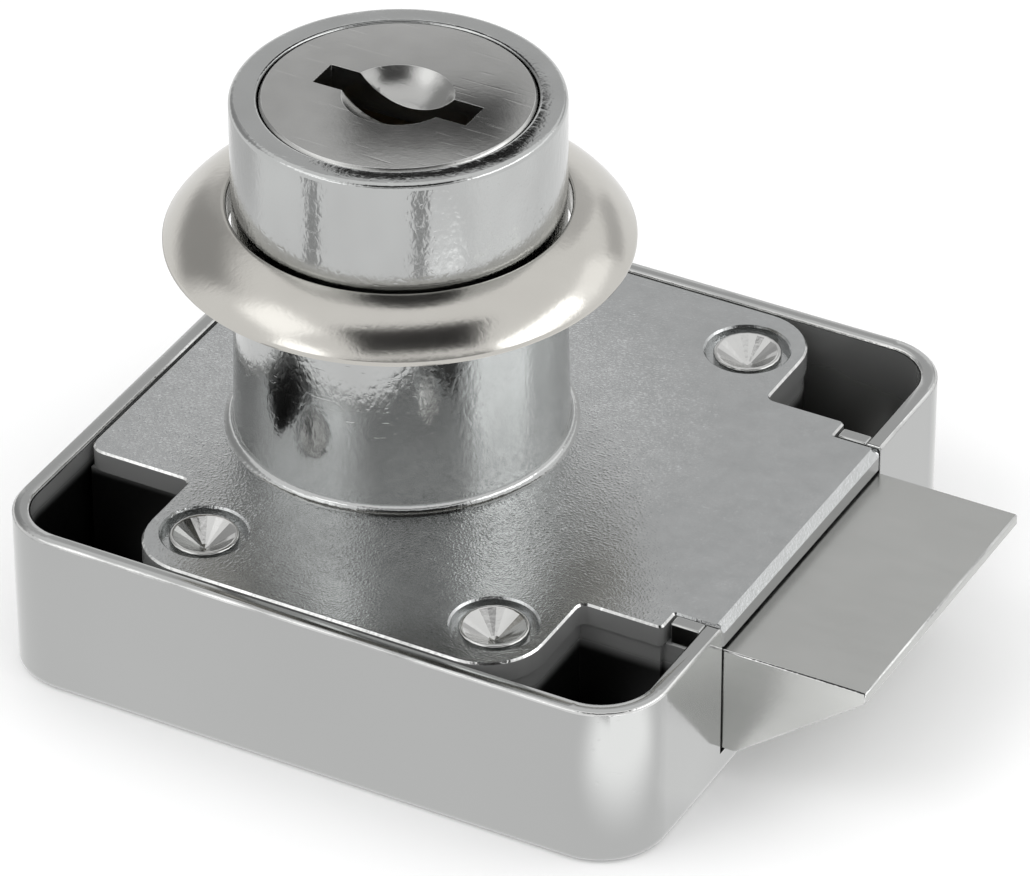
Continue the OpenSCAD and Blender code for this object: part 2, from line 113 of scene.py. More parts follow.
def add_node(tree, kind, inputs=None, **settings):
    """Adds a node, sets its properties, and gives its inputs a constant or a link."""
    node = tree.nodes.new(kind)
    for name, value in settings.items():
        setattr(node, name, value)
    for name, value in (inputs or {}).items():
        if isinstance(value, bpy.types.NodeSocket):
            tree.links.new(value, node.inputs[name])
        else:
            node.inputs[name].default_value = value
    return node


def new_group(name, inputs, outputs):
    """Starts a shader node group and returns its tree, its input node and its output node."""
    tree = bpy.data.node_groups.new(name, "ShaderNodeTree")
    for socket, kind, value in inputs:
        made = tree.interface.new_socket(socket, in_out="INPUT", socket_type=kind)
        if value is not None:
            made.default_value = value
    for socket, kind in outputs:
        tree.interface.new_socket(socket, in_out="OUTPUT", socket_type=kind)
    return tree, tree.nodes.new("NodeGroupInput"), tree.nodes.new("NodeGroupOutput")


# %% [markdown]
# ## Cast skin
# Zinc that is die-cast, plated and only lightly polished keeps a faint orange peel: low bumps a few
# tenths of a millimetre across, on slower waves. Folding a fine noise at its middle value turns it
# into short creases like those of the real skin, and a slow noise under them gives the waves. The
# slow one also comes out as a mask, because the same patches differ a little in gloss.

# %% The cast skin group
SLOW_WAVES = 0.22
skin_tree, skin_in, skin_out = new_group(
    "cast skin",
    [
        ("Vector", "NodeSocketVector", None), ("Scale", "NodeSocketFloat", 2000.0),
        ("Fineness", "NodeSocketFloat", 0.5),
    ],
    [("Height", "NodeSocketFloat"), ("Patches", "NodeSocketFloat")],
)
peel = add_node(skin_tree, "ShaderNodeTexNoise", {
    "Vector": skin_in.outputs["Vector"], "Scale": skin_in.outputs["Scale"],
    "Detail": 2.0, "Roughness": 0.45,
})
slow_scale = add_node(skin_tree, "ShaderNodeMath", {0: skin_in.outputs["Scale"], 1: SLOW_WAVES},
                      operation="MULTIPLY")
slow = add_node(skin_tree, "ShaderNodeTexNoise", {
    "Vector": skin_in.outputs["Vector"], "Scale": slow_scale.outputs[0], "Detail": 1.0,
})
centred = add_node(skin_tree, "ShaderNodeMath", {0: peel.outputs["Fac"], 1: 0.5}, operation="SUBTRACT")
creased = add_node(skin_tree, "ShaderNodeMath", {0: centred.outputs[0]}, operation="ABSOLUTE")
skin_mix = add_node(skin_tree, "ShaderNodeMix", {
    "Factor": skin_in.outputs["Fineness"], "A": slow.outputs["Fac"], "B": creased.outputs[0],
})
skin_tree.links.new(skin_mix.outputs["Result"], skin_out.inputs["Height"])
skin_tree.links.new(slow.outputs["Fac"], skin_out.inputs["Patches"])
print("cast skin", len(skin_tree.nodes), "nodes")

# %% [markdown]
# ## Handling marks
# A lock rubs against others in its box, so its skin has short fine scratches and dull smudges.
# Noise that is squeezed across one direction makes long thin grains, and only its highest peaks are
# kept, as scratches that show here and there. The smudges are large soft noise.

# %% The handling marks group
marks_tree, marks_in, marks_out = new_group(
    "handling marks",
    [("Vector", "NodeSocketVector", None)],
    [("Scratches", "NodeSocketFloat"), ("Smudges", "NodeSocketFloat")],
)
squeezed = add_node(marks_tree, "ShaderNodeMapping", {
    "Vector": marks_in.outputs["Vector"], "Rotation": (0.3, 0.2, 0.9), "Scale": (240, 4200, 4200),
})
grains = add_node(marks_tree, "ShaderNodeTexNoise", {
    "Vector": squeezed.outputs["Vector"], "Scale": 1.0, "Detail": 1.0,
})
scratches = add_node(marks_tree, "ShaderNodeMapRange", {
    "Value": grains.outputs["Fac"], "From Min": 0.66, "From Max": 0.74,
})
smudges = add_node(marks_tree, "ShaderNodeTexNoise", {
    "Vector": marks_in.outputs["Vector"], "Scale": 130.0, "Detail": 3.0, "Roughness": 0.6,
})
smudge_mask = add_node(marks_tree, "ShaderNodeMapRange", {
    "Value": smudges.outputs["Fac"], "From Min": 0.3, "From Max": 0.75,
}, interpolation_type="SMOOTHSTEP")
marks_tree.links.new(scratches.outputs["Result"], marks_out.inputs["Scratches"])
marks_tree.links.new(smudge_mask.outputs["Result"], marks_out.inputs["Smudges"])
print("handling marks", len(marks_tree.nodes), "nodes")

# %% [markdown]
# ## Metal finishes
# All the finishes are one recipe: a metallic Principled BSDF, whose colour and roughness shift
# slightly with the patches and smudges, and whose normal is bent first by the skin and then by any
# scratches. Each finish sets its own colour, gloss and skin. A stretch of the coordinates along one
# axis turns the skin into a brushed grain. A Mix node has several sockets of the same name, one for
# each kind of data, so its colour sockets are found by number.

# %% The recipe for a metal
MIX_A, MIX_B, MIX_OUT = 6, 7, 2
CALM_SHARE = 0.35


def metal(name, colour, shade, rough, rough_more, skin_scale, skin_depth,
          fineness=0.5, scratch_depth=0.0, stretch=(1, 1, 1), calm=None):
    """Makes a plated or brushed metal.

    Its colour goes towards shade in patches, and its roughness from rough to rough_more in smudges.
    Calm gives two distances from the barrel's axis, between which the skin fades to a part of its depth.
    """
    material = bpy.data.materials.new(name)
    material.use_nodes = True
    tree = material.node_tree
    shader = tree.nodes["Principled BSDF"]
    shader.inputs["Metallic"].default_value = 1.0
    place = add_node(tree, "ShaderNodeTexCoord")
    grain = add_node(tree, "ShaderNodeMapping", {"Vector": place.outputs["Object"], "Scale": stretch})
    skin = add_node(tree, "ShaderNodeGroup", node_tree=skin_tree)
    tree.links.new(grain.outputs["Vector"], skin.inputs["Vector"])
    skin.inputs["Scale"].default_value = skin_scale
    skin.inputs["Fineness"].default_value = fineness
    marks = add_node(tree, "ShaderNodeGroup", node_tree=marks_tree)
    tree.links.new(place.outputs["Object"], marks.inputs["Vector"])
    tint = add_node(tree, "ShaderNodeMix", {
        "Factor": skin.outputs["Patches"], MIX_A: (*colour, 1), MIX_B: (*shade, 1),
    }, data_type="RGBA")
    tree.links.new(tint.outputs[MIX_OUT], shader.inputs["Base Color"])
    gloss = add_node(tree, "ShaderNodeMapRange", {
        "Value": marks.outputs["Smudges"], "To Min": rough, "To Max": rough_more,
    })
    tree.links.new(gloss.outputs["Result"], shader.inputs["Roughness"])
    height = skin.outputs["Height"]
    if calm:
        level_place = add_node(tree, "ShaderNodeVectorMath", {0: place.outputs["Object"], 1: (1, 1, 0)},
                               operation="MULTIPLY")
        away = add_node(tree, "ShaderNodeVectorMath", {0: level_place.outputs[0]}, operation="LENGTH")
        share = add_node(tree, "ShaderNodeMapRange", {
            "Value": away.outputs["Value"], "From Min": calm[0], "From Max": calm[1],
            "To Min": 1.0, "To Max": CALM_SHARE,
        })
        calmed = add_node(tree, "ShaderNodeMath", {0: height, 1: share.outputs["Result"]},
                          operation="MULTIPLY")
        height = calmed.outputs[0]
    skin_bump = add_node(tree, "ShaderNodeBump", {
        "Height": height, "Distance": skin_depth, "Strength": 1.0,
    })
    tree.links.new(skin_bump.outputs["Normal"], shader.inputs["Normal"])
    if scratch_depth:
        scratch_bump = add_node(tree, "ShaderNodeBump", {
            "Height": marks.outputs["Scratches"], "Distance": scratch_depth, "Strength": 1.0,
            "Normal": skin_bump.outputs["Normal"],
        }, invert=True)
        tree.links.new(scratch_bump.outputs["Normal"], shader.inputs["Normal"])
    return material


# %% [markdown]
# The case is the brightest: smooth chrome over polished zinc, with long soft waves. The barrel and
# the plate are the same casting, but the barrel keeps its orange peel while the plate is tumbled to
# a fine satin. The trim ring is pressed steel in a warmer nickel. The plug and the bolt are brushed
# and duller.

# %% The finishes
bright_chrome = metal("bright chrome", (0.47, 0.475, 0.47), (0.43, 0.435, 0.43), 0.09, 0.16, 260, 12e-6,
                      fineness=0.12, scratch_depth=2e-6)
# Painted highlight: the edge facets' colour is about twice the chrome's, in broken patches, so they
# shine as bright lines.
painted_highlight_edge = metal("painted highlight edge", (0.95, 0.95, 0.94), (0.3, 0.305, 0.3), 0.12, 0.2, 1500, 120e-6)
satin_plate = metal("satin plate", (0.53, 0.54, 0.54), (0.45, 0.46, 0.46), 0.16, 0.23, 3800, 80e-6,
                    fineness=1.0, scratch_depth=2e-6, calm=(12 * MM, 18 * MM))
cast_barrel = metal("cast barrel", (0.53, 0.54, 0.535), (0.45, 0.455, 0.45), 0.10, 0.15, 1900, 46e-6,
                    fineness=0.6, scratch_depth=3e-6, stretch=(1, 1, 0.6))
pearl_nickel = metal("pearl nickel", (0.58, 0.565, 0.53), (0.53, 0.515, 0.48), 0.15, 0.2, 1600, 26e-6,
                     fineness=0.4)
rivet_metal = metal("rivet metal", (0.70, 0.70, 0.69), (0.5, 0.5, 0.49), 0.10, 0.18, 1800, 20e-6)
satin_bolt = metal("satin bolt", (0.55, 0.555, 0.54), (0.51, 0.515, 0.50), 0.22, 0.27, 3600, 9e-6,
                   fineness=0.6, stretch=(0.4, 1, 1))
satin_plug = metal("satin plug", (0.50, 0.50, 0.49), (0.42, 0.42, 0.41), 0.2, 0.28, 2600, 14e-6,
                   fineness=0.5, scratch_depth=4e-6)
brass = metal("brass", (0.42, 0.34, 0.22), (0.36, 0.28, 0.17), 0.24, 0.34, 1800, 3e-6)
spring_wire = metal("spring wire", (0.46, 0.47, 0.49), (0.36, 0.37, 0.39), 0.22, 0.32, 2500, 2e-6)
cast_zinc = metal("cast zinc", (0.42, 0.43, 0.44), (0.32, 0.33, 0.34), 0.38, 0.50, 2200, 10e-6)
print("finishes", len(bpy.data.materials))

# %% [markdown]
# ## Painted shade in the pockets
# The pockets lie in deep shade, and this finish paints that shade into their colour. It is the
# bright chrome again, mixed by height towards a near black, so the walls are bright at the rim and
# go dull and dark with depth. The dark part is matt, so it is only partly metallic and scatters the
# light that falls in from above. The outer walls keep some sheen all the way down, the ribs and the
# floor go black, and the two pockets away from the bolt are dark from just below the rim.

# %% The pocket finishes
SHADE_ROUGH = 0.42
SHADE_WARMTH = 0.94


def painted_pocket_shade(name, dark_z, bright_z, dark, top_share, sheen):
    """The bright chrome with painted shade: mixed towards dark between two heights, and partly metallic.
    """
    finish = bright_chrome.copy()
    finish.name = name
    tree = finish.node_tree
    shader = tree.nodes["Principled BSDF"]
    shader.inputs["Metallic"].default_value = sheen
    colour = shader.inputs["Base Color"].links[0].from_socket
    rough = shader.inputs["Roughness"].links[0].from_socket
    place = add_node(tree, "ShaderNodeTexCoord")
    height = add_node(tree, "ShaderNodeSeparateXYZ", {"Vector": place.outputs["Object"]})
    lit_share = add_node(tree, "ShaderNodeMapRange", {
        "Value": height.outputs["Z"], "From Min": dark_z, "From Max": bright_z, "To Max": top_share,
    }, interpolation_type="SMOOTHSTEP")
    mixed = add_node(tree, "ShaderNodeMix", {
        "Factor": lit_share.outputs["Result"], MIX_A: (dark, dark, dark * SHADE_WARMTH, 1), MIX_B: colour,
    }, data_type="RGBA")
    tree.links.new(mixed.outputs[MIX_OUT], shader.inputs["Base Color"])
    dull = add_node(tree, "ShaderNodeMix", {
        "Factor": lit_share.outputs["Result"], "A": SHADE_ROUGH, "B": rough,
    })
    tree.links.new(dull.outputs["Result"], shader.inputs["Roughness"])
    return finish


# Painted shade: each of these darkens with depth, standing in for the shade inside the pockets.
shaded_pocket_wall = painted_pocket_shade("shaded pocket wall", 2.0 * MM, 10.5 * MM, 0.12, 0.75, 0.6)
shaded_pocket_deep = painted_pocket_shade("shaded pocket deep", 6.8 * MM, 7.8 * MM, 0.003, 0.62, 0.35)
shaded_pocket_dark = painted_pocket_shade("shaded pocket dark", 8.2 * MM, 9.2 * MM, 0.003, 0.8, 0.3)
print("finishes with the pockets", len(bpy.data.materials))

# %% [markdown]
# ## Finishing a piece
# Each piece is drawn in a bmesh and then becomes an object. Its faces are shaded smooth, with a
# hard edge only where two faces meet sharply, and a Weighted Normal modifier keeps the large flat
# faces flat right up to their rounded edges. On polished metal that decides whether an edge looks
# machined or swollen.

# %% Turning a bmesh into a piece
HARD_EDGE = radians(40)


def piece(name, bm, finishes, body, slot, *nodes):
    """Makes an object from a bmesh, shades it, puts it on its body, and hides the CAD nodes it stands
    for.
    """
    mesh = bpy.data.meshes.new(name)
    bm.to_mesh(mesh)
    bm.free()
    for finish in finishes:
        mesh.materials.append(finish)
    mesh.shade_smooth()
    mesh.set_sharp_from_angle(angle=HARD_EDGE)
    made = bpy.data.objects.new(name, mesh)
    bpy.context.collection.objects.link(made)
    weighted = made.modifiers.new("flat faces", "WEIGHTED_NORMAL")
    weighted.keep_sharp = True
    weighted.weight = 100
    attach(made, body)
    if nodes:
        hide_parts(*nodes)
    print(name, len(mesh.polygons), "faces")
    return made


# %% [markdown]
# ## Edges that catch the light
# No real edge is perfectly sharp: casting, tumbling and plating round it by a tenth of a millimetre
# or two, and that small round shows as a bright line. The CAD solids have sharp edges, so the case,
# the bolt and the plug are copies of them. A copy is merged, its flat areas are joined into single
# faces, and only its sharp edges are bevelled. One or two segments are enough: a single narrow
# facet turns its whole width to the light. The bevel is real, and the facets also take a much
# brighter finish, which paints a highlight along them, broken in patches.

# %% A softened copy of a CAD node
MERGE_DISTANCE = 0.5e-6
FLAT_WITHIN = radians(0.6)


def softened(node, edge, sharper_than, segments, edge_finish, below=1.0):
    """A bmesh of a CAD node, with its sharp edges below a height bevelled and given a finish."""
    bm = bmesh.new()
    bm.from_mesh(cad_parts[node].data)
    bmesh.ops.remove_doubles(bm, verts=bm.verts, dist=MERGE_DISTANCE)
    bmesh.ops.dissolve_limit(bm, angle_limit=FLAT_WITHIN, verts=bm.verts, edges=bm.edges)
    sharp = [
        e for e in bm.edges
        if len(e.link_faces) == 2 and e.calc_face_angle() > sharper_than
        and min(v.co.z for v in e.verts) < below
    ]
    facets = bmesh.ops.bevel(bm, geom=sharp, offset=edge, offset_type="OFFSET", segments=segments,
                             profile=0.5, affect="EDGES", clamp_overlap=True, material=-1)
    for face in facets["faces"]:
        face.material_index = edge_finish
    return bm


# %% [markdown]
# Where a top face has many short edges, as round the case's rim and the cover's outline, a bevel is
# held back by the shortest of them. Insetting the whole face moves every edge inwards by the same
# amount instead, and lowering the old outline then leaves an even chamfer. An inset can tear a face
# that bends round a hole, such as the rim, so the top is cut into triangles before it.

# %% A chamfer round a top face


def flat_top(bm, top_z):
    """The faces that lie flat at a height and look up."""
    return [
        f for f in bm.faces if f.normal.z > 0.9 and all(abs(v.co.z - top_z) < 1e-7 for v in f.verts)
    ]


def top_chamfer(bm, top_z, width, keep=lambda vert: False):
    """Chamfers a flat top, except at vertices to keep. Returns the faces and both outlines."""
    bmesh.ops.triangulate(bm, faces=flat_top(bm, top_z), quad_method="BEAUTY", ngon_method="BEAUTY")
    top = flat_top(bm, top_z)
    made = bmesh.ops.inset_region(bm, faces=top, thickness=width, use_even_offset=True,
                                  use_boundary=True)
    inner = {v for f in top for v in f.verts}
    outer = {v for f in made["faces"] for v in f.verts} - inner
    for vert in outer:
        if not keep(vert):
            vert.co.z -= width
    for face in made["faces"]:
        face.normal_update()
    print("chamfer", len(made["faces"]), "faces")
    return made["faces"], inner, outer


# %% [markdown]
# ## Case
# The case is an open box with thin walls and a rounded foot, with four screw pockets beside the
# cover. Its mesh carries five finishes, and each face keeps the number of its own: 0, the chrome,
# unless it is given another.

# %% The case's shape
CASE_EDGE = 0.15 * MM
case_finishes = [bright_chrome, shaded_pocket_wall, shaded_pocket_deep, painted_highlight_edge, shaded_pocket_dark]
POCKET_WALL, POCKET_DEEP, EDGE, POCKET_DARK = 1, 2, 3, 4
BELOW_RIM = rim_z - 0.1 * MM
case_mesh = softened("case", CASE_EDGE, radians(30), segments=1, edge_finish=EDGE, below=BELOW_RIM)
rim_faces, _, _ = top_chamfer(case_mesh, rim_z, CASE_EDGE)
# The rim's chamfer takes the painted highlight finish.
for face in rim_faces:
    face.material_index = EDGE

# %% [markdown]
# The faces that look into the pockets take the painted pocket shade, and they are found by their
# place: inside the walls and above the floor. Past the start of a rounded corner, the distance is
# measured from the corner's own centre.

# %% The case's pockets
WALL = 1.0 * MM
CORNER_R = 4.0 * MM
POCKET_SHIFT = 3.0 * MM
case_middle = (case_low + case_high) / 2
# Painted shade: the faces inside the pockets get the darkening finishes by their place.
for face in case_mesh.faces:
    middle = face.calc_center_median() - case_middle
    past_x = abs(middle.x) - (case_high.x - case_low.x) / 2 + CORNER_R
    past_y = abs(middle.y) - (case_high.y - case_low.y) / 2 + CORNER_R
    reach = Vector((past_x, past_y)).length if min(past_x, past_y) > 0 else max(past_x, past_y)
    above_floor = WALL < middle.z + case_middle.z < rim_z - 0.2 * MM
    if above_floor and reach < CORNER_R - 0.6 * WALL:
        by_place = POCKET_WALL if reach > CORNER_R - 1.4 * WALL else POCKET_DEEP
        face.material_index = POCKET_DARK if middle.x < -POCKET_SHIFT else by_place
piece("case_shell", case_mesh, case_finishes, "housing", "bright_chrome", "case")

# %% [markdown]
# Beside the bolt's window the rim carries two short ribs, one on each side of the cover's tongue.
# They are cast with the case and stand as high as the rim.

# %% The ribs beside the window
RIB_LENGTH = 1.75 * MM
RIB_THICK = 0.85 * MM
RIB_HEIGHT = 1.4 * MM
RIB_ROUND = 0.12 * MM
RIB_INNER_Y = 9.68 * MM
INTO_WALL = 0.05 * MM
rib_x = case_high.x - WALL - RIB_LENGTH / 2 + INTO_WALL
rib_y = RIB_INNER_Y + RIB_THICK / 2
rib_mesh = bmesh.new()
for side in (-1, 1):
    cube = bmesh.ops.create_cube(rib_mesh, size=1.0)
    bmesh.ops.scale(rib_mesh, verts=cube["verts"], vec=(RIB_LENGTH, RIB_THICK, RIB_HEIGHT))
    bmesh.ops.translate(rib_mesh, verts=cube["verts"],
                        vec=(rib_x, side * rib_y, rim_z - RIB_HEIGHT / 2))
bmesh.ops.bevel(rib_mesh, geom=rib_mesh.edges[:], offset=RIB_ROUND, offset_type="OFFSET", segments=3,
                profile=0.5, affect="EDGES", clamp_overlap=True, material=-1)
piece("window_ribs", rib_mesh, [bright_chrome], "housing", "bright_chrome")

# %% [markdown]
# ## Profiles
# The barrel, the trim ring and the rivets are turned shapes: a half section is drawn once and spun
# round the axis. A helper joins corner points into a closed half section, and another draws an arc
# by spinning a single vertex, so that a round edge is as smooth as it needs to be.

# %% Half sections and how they are spun
TURN_STEPS = 192


def section(bm, corners):
    """Joins points, given as radius and height, into a closed loop of edges in the XZ plane."""
    verts = [bm.verts.new((r, 0, z)) for r, z in corners]
    return verts, [bm.edges.new((a, b)) for a, b in zip(verts, verts[1:] + verts[:1])]


def round_corner(bm, vert, radius, segments):
    """Rounds one corner of a half section."""
    bmesh.ops.bevel(bm, geom=[vert], offset=radius, offset_type="OFFSET", segments=segments,
                    profile=0.5, affect="VERTICES", material=-1)


def turned(bm, steps=TURN_STEPS, centre=(0, 0, 0)):
    """Spins everything drawn so far through a full turn about a vertical axis."""
    bmesh.ops.spin(bm, geom=bm.verts[:] + bm.edges[:], cent=centre, axis=(0, 0, 1), angle=2 * pi,
                   steps=steps, use_merge=True)
    bmesh.ops.remove_doubles(bm, verts=bm.verts, dist=1e-7)
    bmesh.ops.recalc_face_normals(bm, faces=bm.faces)


# %% [markdown]
# ## Barrel
# The barrel stands on the plate with a small fillet and a slight casting taper, so that it leaves
# its mould. Inside, a narrow bore holds the plug and a wider room below it holds the pusher.

# %% The barrel
BARREL_R = 9.25 * MM
FOOT_R = 9.45 * MM
FILLET = 0.5 * MM
TAPER_H = 7.5 * MM
BORE_R = 7.68 * MM
CAVITY_R = 8.2 * MM
LEDGE_R = 7.3 * MM
JOIN_R = FOOT_R + FILLET
TOP_ROUND = 0.36 * MM
BORE_ROUND = 0.2 * MM
plate_bottom = cover_low.z
cavity_top = plug_low.z + 3.5 * MM
barrel_mesh = bmesh.new()
barrel_corners, _ = section(barrel_mesh, [
    (LEDGE_R, plate_bottom), (JOIN_R, plate_bottom), (JOIN_R, rim_z), (FOOT_R, rim_z),
    (BARREL_R, rim_z + TAPER_H), (BARREL_R, barrel_top), (BORE_R, barrel_top), (BORE_R, cavity_top),
    (CAVITY_R, cavity_top), (CAVITY_R, rim_z), (LEDGE_R, rim_z),
])
foot_corner, top_corner, bore_corner = barrel_corners[3], barrel_corners[5], barrel_corners[6]
round_corner(barrel_mesh, foot_corner, FILLET, segments=6)
round_corner(barrel_mesh, top_corner, TOP_ROUND, segments=6)
round_corner(barrel_mesh, bore_corner, BORE_ROUND, segments=4)
turned(barrel_mesh)
piece("barrel", barrel_mesh, [cast_barrel], "housing", "satin_chrome", "cover")

# %% [markdown]
# ## Cover plate
# The plate's outline is a cross: a long tongue that runs out over the bolt, and a wide neck for the
# rivets. It is symmetric, so one half is given, each corner with the radius in millimetres that it
# is rounded by. The corners are drawn square and rounded by bevelling their vertices.

# %% The outline of the cover plate
waist_y = 11.1 * MM
neck_y = cover_high.y
tongue_y = 9.575 * MM
plate_left, waist_right, plate_right = cover_low.x, 22.1 * MM, cover_high.x
neck_left, neck_right = -7.2 * MM, 17.2 * MM

plate_half = [
    (plate_right, tongue_y, 0.2), (waist_right, tongue_y, 0.12), (waist_right, waist_y, 0.3),
    (neck_right, waist_y, 0.5), (neck_right, neck_y, 3.5), (neck_left, neck_y, 3.5),
    (neck_left, waist_y, 0.5), (plate_left, waist_y, 1.0),
]
plate_points = plate_half + [(x, -y, r) for x, y, r in reversed(plate_half)]
plate_mesh = bmesh.new()
outline = [plate_mesh.verts.new((x, y, rim_z)) for x, y, _ in plate_points]
for a, b in zip(outline, outline[1:] + outline[:1]):
    plate_mesh.edges.new((a, b))
for vert, (_, _, radius) in zip(outline, plate_points):
    bmesh.ops.bevel(plate_mesh, geom=[vert], offset=radius * MM, offset_type="OFFSET",
                    segments=10 if radius > 1 else 5, profile=0.5, affect="VERTICES", material=-1)
print("outline", len(plate_mesh.verts), "points")

# %% [markdown]
# Filling the outline together with the barrel's hole leaves the hole open. The fill also covers the
# four recesses with loose triangles, and each of them is swapped for one round face, which can then
# be pressed down as a whole.

# %% The filled plate
RECESS_R = 2.4 * MM
RECESS_STEPS = 48
rivet_places = [(x * MM, y * MM) for x in (-4, 14) for y in (-15, 15)]

bmesh.ops.create_circle(plate_mesh, segments=TURN_STEPS, radius=JOIN_R,
                        matrix=Matrix.Translation((0, 0, rim_z)))
for x, y in rivet_places:
    bmesh.ops.create_circle(plate_mesh, segments=RECESS_STEPS, radius=RECESS_R,
                            matrix=Matrix.Translation((x, y, rim_z)))
bmesh.ops.triangle_fill(plate_mesh, use_beauty=True, edges=plate_mesh.edges, normal=(0, 0, 1))
for x, y in rivet_places:
    place = Vector((x, y))
    rim = [v for v in plate_mesh.verts if abs((v.co.xy - place).length - RECESS_R) < 1e-6]
    rim.sort(key=lambda v: Vector((v.co.x - x, v.co.y - y)).angle_signed(Vector((1, 0)), 0))
    if all(plate_mesh.edges.get((a, b)) for a, b in zip(rim, rim[1:] + rim[:1])):
        loose = [
            f for f in plate_mesh.faces
            if (f.calc_center_median().xy - place).length < 0.99 * RECESS_R
            and all(v in rim for v in f.verts)
        ]
        bmesh.ops.delete(plate_mesh, geom=loose, context="FACES")
        plate_mesh.faces.new(rim)
print("flat plate", len(plate_mesh.faces), "faces")

# %% [markdown]
# The flat plate is turned face up and extruded down to its thickness. Each round face is then
# extruded down twice: into the recess, and from a narrower ring into a pit that leaves room for the
# cone of the rivet's head.

# %% The plate's thickness and recesses
RECESS_DEPTH = 0.6 * MM
PIT_R = 1.9 * MM
PIT_DEPTH = 0.5 * MM
bmesh.ops.recalc_face_normals(plate_mesh, faces=plate_mesh.faces)
if plate_mesh.faces[0].normal.z < 0:
    bmesh.ops.reverse_faces(plate_mesh, faces=plate_mesh.faces)
solid = bmesh.ops.extrude_face_region(plate_mesh, geom=plate_mesh.faces[:])
bottom_verts = [g for g in solid["geom"] if isinstance(g, bmesh.types.BMVert)]
bmesh.ops.translate(plate_mesh, verts=bottom_verts, vec=(0, 0, plate_bottom - rim_z))
bmesh.ops.recalc_face_normals(plate_mesh, faces=plate_mesh.faces)
discs = [
    f for f in plate_mesh.faces
    if len(f.verts) == RECESS_STEPS and f.calc_center_median().z > rim_z - 1e-6
]
for disc in discs:
    for inset, depth in ((0, RECESS_DEPTH), (RECESS_R - PIT_R, PIT_DEPTH)):
        if inset:
            bmesh.ops.inset_region(plate_mesh, faces=[disc], thickness=inset, use_even_offset=True)
        pressed = bmesh.ops.extrude_face_region(plate_mesh, geom=[disc])
        moved = [g for g in pressed["geom"] if isinstance(g, bmesh.types.BMVert)]
        bmesh.ops.translate(plate_mesh, verts=moved, vec=(0, 0, -depth))
        if disc.is_valid:
            bmesh.ops.delete(plate_mesh, geom=[disc], context="FACES_ONLY")
        disc = next(g for g in pressed["geom"] if isinstance(g, bmesh.types.BMFace))
print("recesses", len(discs))

# %% [markdown]
# The chamfer leaves out the edge round the barrel, and it is wider at the tongue's end, where the
# real casting slopes down to the bolt. The plate's sides that look into the pockets take the
# pockets' painted shade.

# %% The plate's chamfer
PLATE_EDGE = 0.11 * MM
TONGUE_EDGE = 0.45 * MM
TONGUE_CORNER = 0.2 * MM
plate_finishes = [satin_plate, painted_highlight_edge, shaded_pocket_deep]
SATIN, PAINTED_HIGHLIGHT, DARK_SIDE = 0, 1, 2


def towards_end(vert):
    """How far a vertex is round the tongue's end corner: 0 before the corner, 1 at the end face."""
    return min(max((vert.co.x - plate_right + TONGUE_CORNER) / TONGUE_CORNER, 0), 1)


def to_rivet(point):
    """The distance from a point to the nearest rivet's axis."""
    return min((point.xy - Vector(place)).length for place in rivet_places)


plate_rim, inner_verts, outer_verts = top_chamfer(
    plate_mesh, rim_z, PLATE_EDGE, keep=lambda vert: vert.co.xy.length < JOIN_R + 1e-5)
for vert in outer_verts:
    vert.co.z -= (TONGUE_EDGE - PLATE_EDGE) * towards_end(vert)
for vert in inner_verts:
    if vert.co.x > plate_right - 1.5 * PLATE_EDGE:
        vert.co.x -= TONGUE_EDGE - PLATE_EDGE
# Painted shade: the plate's sides that look into the pockets are darkened like the pockets.
for face in plate_mesh.faces:
    if abs(face.normal.z) < 0.3 and to_rivet(face.calc_center_median()) > RECESS_R + 1e-5:
        face.material_index = DARK_SIDE
# Painted highlight: the straight chamfer faces take the brighter edge finish.
for face in plate_rim:
    middle = face.calc_center_median()
    round_edge = middle.xy.length < JOIN_R + PLATE_EDGE or to_rivet(middle) < RECESS_R + PLATE_EDGE
    face.material_index = SATIN if round_edge or middle.x > waist_right else PAINTED_HIGHLIGHT
piece("cover_plate", plate_mesh, plate_finishes, "housing", "satin_chrome", "cover")

# %% [markdown]
# ## Rivets
# The cover is held by four cast studs that a pointed tool spreads. Each head ends as a low rim
# round a deep cone, and the tool leaves faint flats in the cone, which is why it sparkles. The head
# is spun as a whole, and then the cone's faces alone are shaded flat.

# %% The rivet heads
RIVET_R = 1.95 * MM
RIVET_STEPS = 22
SHANK_R = 1.2 * MM
TAIL_LOW = 0.05 * MM
TAIL_TOP = 0.6 * MM
head_low = rim_z - RECESS_DEPTH
rivet_mesh = bmesh.new()
for x, y in rivet_places:
    one = bmesh.new()
    corners, _ = section(one, [
        (0, TAIL_LOW), (RIVET_R, TAIL_LOW), (RIVET_R, TAIL_TOP), (SHANK_R, TAIL_TOP),
        (SHANK_R, head_low), (RIVET_R, head_low),
        (RIVET_R, head_low + 0.46 * MM), (RIVET_R - 0.18 * MM, head_low + 0.5 * MM),
        (0.3 * MM, head_low - 0.42 * MM), (0, head_low - 0.5 * MM),
    ])
    rim_outside, rim_inside = corners[6], corners[7]
    round_corner(one, rim_outside, 0.1 * MM, segments=4)
    round_corner(one, rim_inside, 0.08 * MM, segments=3)
    bmesh.ops.translate(one, verts=one.verts, vec=(x, y, 0))
    turned(one, RIVET_STEPS, (x, y, 0))
    scrap = bpy.data.meshes.new("one rivet")
    one.to_mesh(scrap)
    one.free()
    rivet_mesh.from_mesh(scrap)
    bpy.data.meshes.remove(scrap)
rivets = piece("rivet_heads", rivet_mesh, [rivet_metal], "housing", "rivet_metal", "cover_rivets")
for face in rivets.data.polygons:
    in_cone = to_rivet(face.center) < RIVET_R - 0.3 * MM and 0.2 < face.normal.z < 0.98
    face.use_smooth = not in_cone

